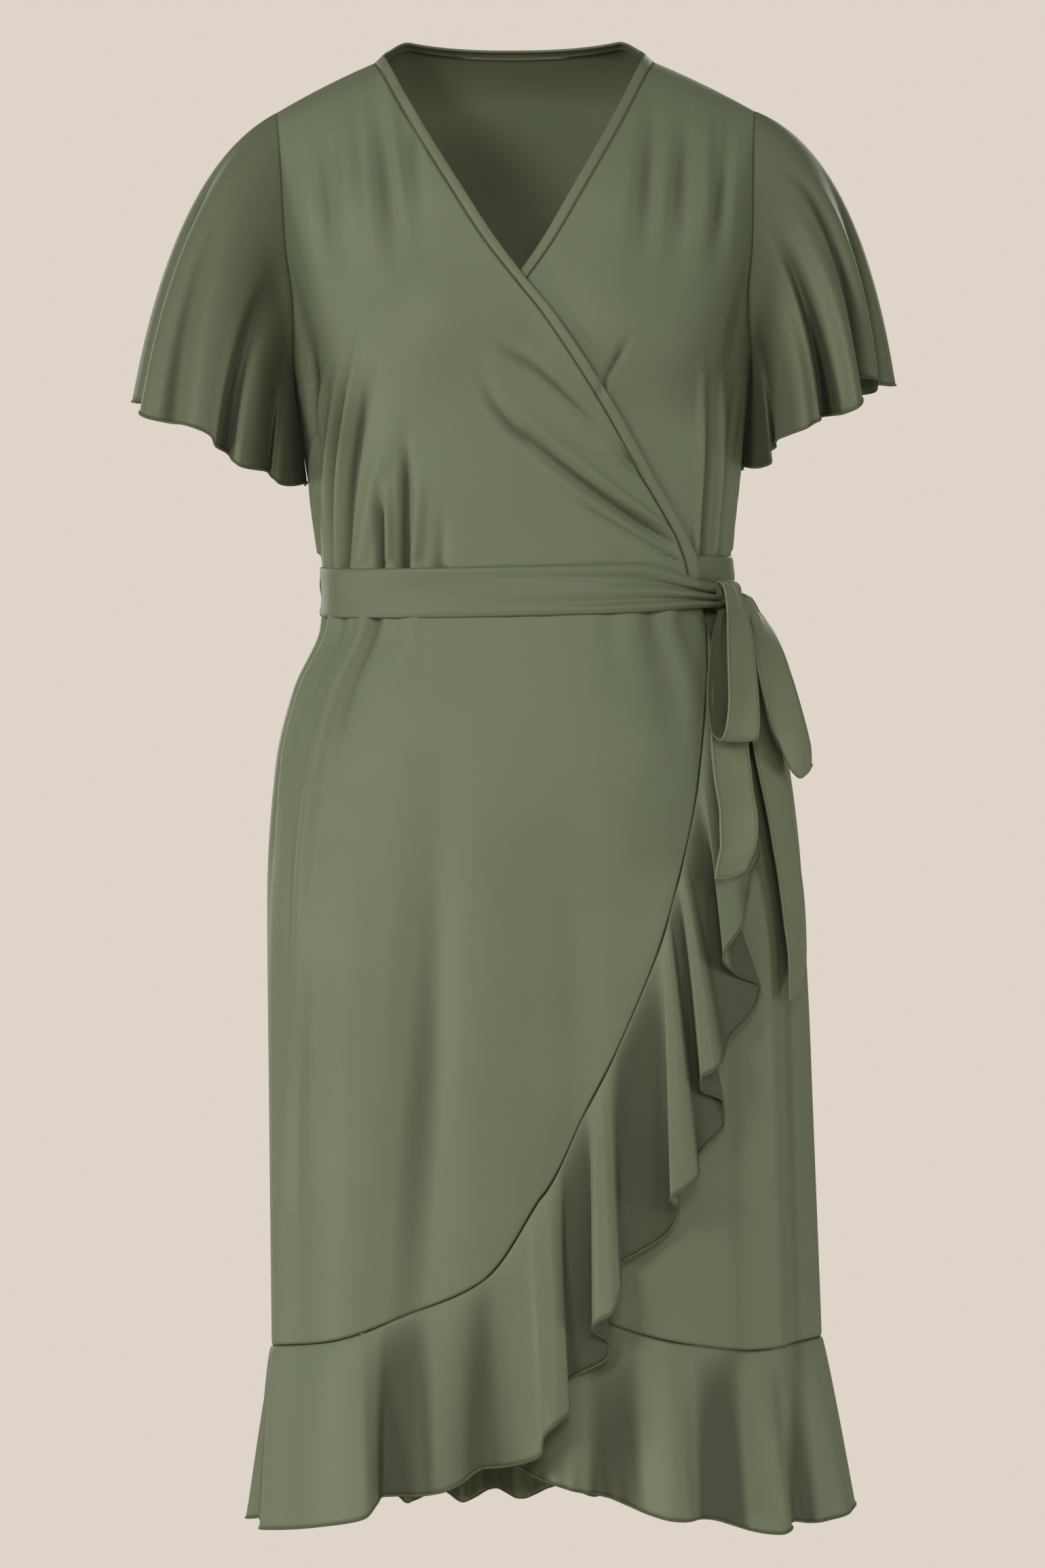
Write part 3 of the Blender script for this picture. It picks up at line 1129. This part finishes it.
for name, node, table, seam, phase, lift, by_angle, fullness, count, cut in (
    ("left_ruffle", "ruffle_front_left", UNDER_RUFFLE, under_seam, flute_phase(UNDER_FLUTES, under_last),
     skirt_sink, near_side, 1.3, 300, (0.78, 0.19)),
    ("back_ruffle", "ruffle_back", BACK_RUFFLE, back_seam,
     lambda station: -np.pi / 2 - station / back_last * 2 * np.pi * BACK_FLUTES,
     lambda angle, height: 0 * angle, lambda angle: 1 + 0 * angle, 1.45, 430, (1.1, 0.19)),
):
    station = even_stations(seam, (len(table) - 1) * 0.9999, np.linspace(0, 1, count))[None, :]
    station, way = station + 0 * ruffle_down, ruffle_down + 0 * station
    grid = ruffle_grid(table, seam, phase, lift, by_angle, fullness, station, way)
    body = np.array([0, 0, grid[..., 2].mean()])
    ruffle = cloth_object(name, grid, olive_jersey, sewn="bottom", free="top", curl=body, within=38, dim=1.0)
    hem = rolled_edge(name + "_hem", grid[-1], HEM_ROLL, thread)
    hang(ruffle, node, cut, trims=[hem])

# The sash
# A flat tube of jersey goes round the waist, from the wrap edge round the back and over the front, and is
# drawn together to its knot at the left of the front, so soft creases run in to the knot.
SASH_HALF = 19
SASH_TOP = -389
SASH_SAG = 6
SASH_OFF = 1.9
SASH_WALL = 1.4
PULLED_FROM, CREASED_FROM = 62, 118
KNOT_ANGLE = 24
KNOT_HEIGHT = -421
KNOT_OFF = 12
SASH_CREASES = (
    # place up the sash at the knot and far from it, half width, depth
    (0.58, 0.80, 0.12, -3.2), (0.42, 0.44, 0.12, 2.4), (0.26, 0.20, 0.10, -2.4), (0.80, 0.97, 0.13, 2.0),
    (0.12, 0.08, 0.10, 1.6), (0.70, 0.64, 0.07, 1.0),
)
sash_jersey = jersey("sash jersey", (0.135, 0.162, 0.093, 1), (0.114, 0.135, 0.076, 1), 0.4, 0.46)


def folded_edges(up, deep, share):
    """How far the tube's two folded edges turn in: the square of what is left of that share of its
    width."""
    return deep * np.clip(1 - np.minimum(up, 1 - up) / share, 0, 1) ** 2


def sash_object(name, node, angle, up, height, off, cut):
    """One stretch of the sash, at a height and a distance out for each angle and place up it."""
    stretch = cloth_object(
        name, plain_point(angle + 0 * up, height, off), sash_jersey, free="bottom top", thick=SASH_WALL, side=0,
        curl=np.array([0, 0, WAIST]),
    )
    hang(stretch, node, cut)


sash_up = np.linspace(0, 1, 41)[:, None]
front_end = KNOT_ANGLE + 6.4
front_angle = mix(180, front_end, np.linspace(0, 1, 170))[None, :]
near_knot = ease((PULLED_FROM - front_angle) / (PULLED_FROM - front_end))
drawn = ease((CREASED_FROM - front_angle) / (CREASED_FROM - front_end)) ** 1.3
creases = 0 * sash_up * front_angle
for at_knot, far_off, wide, deep in SASH_CREASES:
    away = (sash_up - mix(far_off, at_knot, drawn)) / (wide * (1.5 - 0.5 * drawn))
    creases = creases + deep * drawn * bell(away)
soft = 0.9 * np.sin(np.radians(front_angle * 5.3)) * np.sin(np.pi * sash_up) * (1 - drawn)
sash_off = lap_lift(front_angle, WAIST + 0 * front_angle) * (1 - near_knot)
sash_off = sash_off + mix(SASH_OFF, KNOT_OFF, near_knot) + creases - folded_edges(sash_up, 1.2, 0.1) + soft
sash_middle = SASH_TOP - SASH_HALF - SASH_SAG * np.maximum(0, np.sin(np.radians(front_angle)))
sash_height = mix(sash_middle, KNOT_HEIGHT, near_knot) + mix(SASH_HALF, 9, near_knot) * (2 * sash_up - 1)
sash_object(
    "front_sash", "sash_front", front_angle, sash_up, sash_height, sash_off, (0.042, 0.47),
)

side_angle = mix(180.12, 360 + wrap_at_waist + 1.5, np.linspace(0, 1, 190))[None, :]
side_up = np.linspace(0, 1, 21)[:, None]
side_soft = 0.5 * np.sin(np.radians(side_angle * 6.1)) * np.sin(np.pi * side_up)
side_crease = 0.6 * np.cos(2 * np.pi * (side_up * 1.6 + 0.3 * np.sin(np.radians(side_angle * 2))))
side_height = SASH_TOP - SASH_HALF + SASH_HALF * (2 * side_up - 1) + 0 * side_angle
side_off = SASH_OFF - folded_edges(side_up, 1.0, 0.12) + side_soft + side_crease
sash_object(
    "back_sash", "sash_back", side_angle, side_up, side_height, side_off, (0.042, 0.62),
)

# The knot
# The sash's two ends are pulled once round each other, so the knot is a small tight turn of cloth, with
# creases that run round it and in under its edge.
KNOT_SIZE = (11, 7, 11.5)


def level_frame(angle, height):
    """The level directions along the form, towards the wearer's left, and out of it."""
    normal = form_normal(angle, height)
    outward = unit(normal * (1, 1, 0))
    return np.stack([-outward[..., 1], outward[..., 0], 0 * outward[..., 0]], -1), outward


knot_at = (np.array([float(KNOT_ANGLE)]), np.array([float(KNOT_HEIGHT)]))
knot_centre = plain_point(*knot_at, np.array([float(KNOT_OFF)]))[0]
knot_across, knot_outward = (direction[0] for direction in level_frame(*knot_at))
pitch = np.linspace(0.06, np.pi - 0.06, 60)[:, None]
yaw = np.linspace(0, 2 * np.pi, 110, endpoint=False)[None, :]
small_creases = 0.05 * np.cos(9 * yaw + 2.2 * np.cos(pitch * 1.5)) * np.sin(pitch)
turns_of_cloth = 0.075 * np.cos(3 * yaw + 0.5) + small_creases
girth = np.sin(pitch) ** 0.7 * (1 - turns_of_cloth)
knot_points = (
    knot_centre
    + knot_across * (KNOT_SIZE[0] * girth * np.cos(yaw))[..., None]
    + knot_outward * (KNOT_SIZE[1] * girth * np.sin(yaw))[..., None]
    + np.array([0, 0, 1]) * (KNOT_SIZE[2] * np.cos(pitch) + 0 * yaw)[..., None]
)
knot = cloth_object("knot", knot_points, sash_jersey, closed=True, thick=SASH_WALL, curl=knot_centre)
hang(knot, "sash_knot", (0.05, 0.06))

# The bow's loops and ends
# The two loops and the two free ends are the same flat tube. They are pinched narrow at the knot and open
# below it, each a little curved across, with the tube's seam showing as a fine line along its edges.
bow_jersey = jersey(
    "bow jersey", (0.172, 0.202, 0.116, 1), (0.146, 0.170, 0.096, 1), 0.4, 0.48, edge_line=0.45
)
LOOP_FRONT = (
    # place across, height, distance out, turn away from the body, half width, lift of the edges
    (151, -427, 12, 0, 7, 0), (150, -417, 15, 0, 8, 0), (151, -411.5, 19, -2, 8.6, 0),
    (153.6, -414, 23, -5, 9.6, 0), (156, -424, 26, -8, 11.4, 0), (157.8, -437, 29, -12, 13.4, 0),
    (159.5, -453, 32, -14, 15.4, 0), (160.5, -480, 38, -16, 16.4, 0), (161, -505, 41, -16, 17.2, 0),
    (160, -525, 39, -14, 17.6, 2), (156.5, -537, 32, -10, 17.8, 3), (151, -529, 24, -4, 17.4, 2),
    (148.5, -502, 19, 0, 17, 0), (149, -476, 17, 0, 15, 0), (150, -445, 14, 0, 10, 0),
    (151, -432, 12, 0, 7, 0),
)
LOOP_SIDE = (
    (164, -421, 13.5, 4, 6, 0), (168, -424, 18, 4, 8, 0), (174, -437, 22, 4, 12, 0),
    (182, -468, 27, 4, 16.5, 0), (189, -497, 30, 4, 18, 1), (196.5, -528, 31, 5, 18, 4),
    (202.5, -550, 30, 6, 16.5, 8), (205, -563, 26.5, 6, 13.5, 8), (202, -556, 22.5, 6, 14.5, 8),
    (193.5, -532, 19, 4, 16.5, 4), (184, -492, 16, 4, 14, 0), (174, -452, 14, 4, 10, 0),
    (167, -431, 12.5, 4, 6, 0),
)
TAIL_FRONT = (
    (151, -433.5, 8, 0, 6, 0), (150, -455, 10, -4, 11, 0), (149, -490, 14, -8, 15, 0),
    (149.5, -530, 19, -10, 17.4, 0), (152, -567, 25, -10, 18.4, 0), (154.5, -592, 30, -10, 18.4, 1),
    (154, -612, 31, -14, 18, 2), (149.5, -628, 29, -18, 17.5, 3), (147, -637, 28, -20, 17, 3),
)
TAIL_SIDE = (
    (160, -433, 9.5, 0, 5, 0), (166, -460, 7.5, 0, 10, 0), (174, -500, 8.5, -2, 14, 0),
    (182.5, -550, 10, -4, 17, 0), (190, -600, 10.5, -6, 18, 0), (197.5, -660, 9.5, -8, 19, 2),
    (200, -700, 9.5, -10, 19, 4), (199, -729, 9.5, -12, 17, 7),
)


def ribbon_grid(table, along, across, cup, slant):
    """A ribbon through its table's rows. Its face lies along the body and turns away from it. It is cupped
    across by a parabola, its edges lift over its middle by another, so that a loop's end is round, and the
    end of a tail is cut on a slant. Where it is pinched the cloth lies in small creases, and its length has
    soft waves."""
    x_of, z_of, off_of, turn_of, half_of, lift_of = table_curves(table, range(6))
    station = along * (len(table) - 1)
    z, off = z_of(station), off_of(station)
    angle = angle_at_x(x_of(station), z, off)
    centre = plain_point(angle, z, off)
    level, outward = level_frame(angle, z)
    turn = np.radians(turn_of(station))[..., None]
    sideways = level * np.cos(turn) + outward * np.sin(turn)
    half = half_of(station)
    face = unit(np.cross(unit(step_at(centre, 0)), sideways))
    pinch = np.clip((16 - half) / 9, 0, 1)
    bow = cup * (across**2 - 0.4) + pinch * 0.9 * np.cos(across * 7.5 + 0.6)
    bow = bow + (1 - pinch) * 0.7 * np.sin(along * 17 + across * 2.1) * np.sin(along * np.pi)
    upward = lift_of(station) * across**2 + slant * (across + 0.4) * np.clip(along * 5 - 4, 0, 1) ** 2
    points = centre + sideways * (across * half)[..., None] + face * bow[..., None]
    return points + upward[..., None] * [0, 0, 1]


ribbon_across = np.linspace(-1, 1, 25)[None, :]
for name, node, table, count, cup, slant, inside, cut in (
    # inside is the shade of the loop's back half, whose inner face shows
    ("front_loop", "bow_loop_front", LOOP_FRONT, 170, 1.4, 0, 3.4, (0.042, 0.32)),
    ("side_loop", "bow_loop_side", LOOP_SIDE, 150, -1.6, 0, 1.6, (0.042, 0.30)),
    ("front_tail", "sash_tail_front", TAIL_FRONT, 110, 2.0, 3, 0, (0.042, 0.215)),
    ("side_tail", "sash_tail_side", TAIL_SIDE, 130, -1.6, 13, 0, (0.042, 0.31)),
):
    ribbon_along = np.linspace(0, 1, count)[:, None]
    along, across = ribbon_along + 0 * ribbon_across, ribbon_across + 0 * ribbon_along
    grid = ribbon_grid(table, along, across, cup, slant)
    shaded = inside * ease((ribbon_along - 0.6) / 0.14) + 0 * ribbon_across
    ribbon = cloth_object(name, grid, bow_jersey, free="left right top", thick=SASH_WALL, side=0, hollow=shaded)
    hang(ribbon, node, cut)

# The box of the dressed model, beside the solids' own.
bpy.context.view_layer.update()
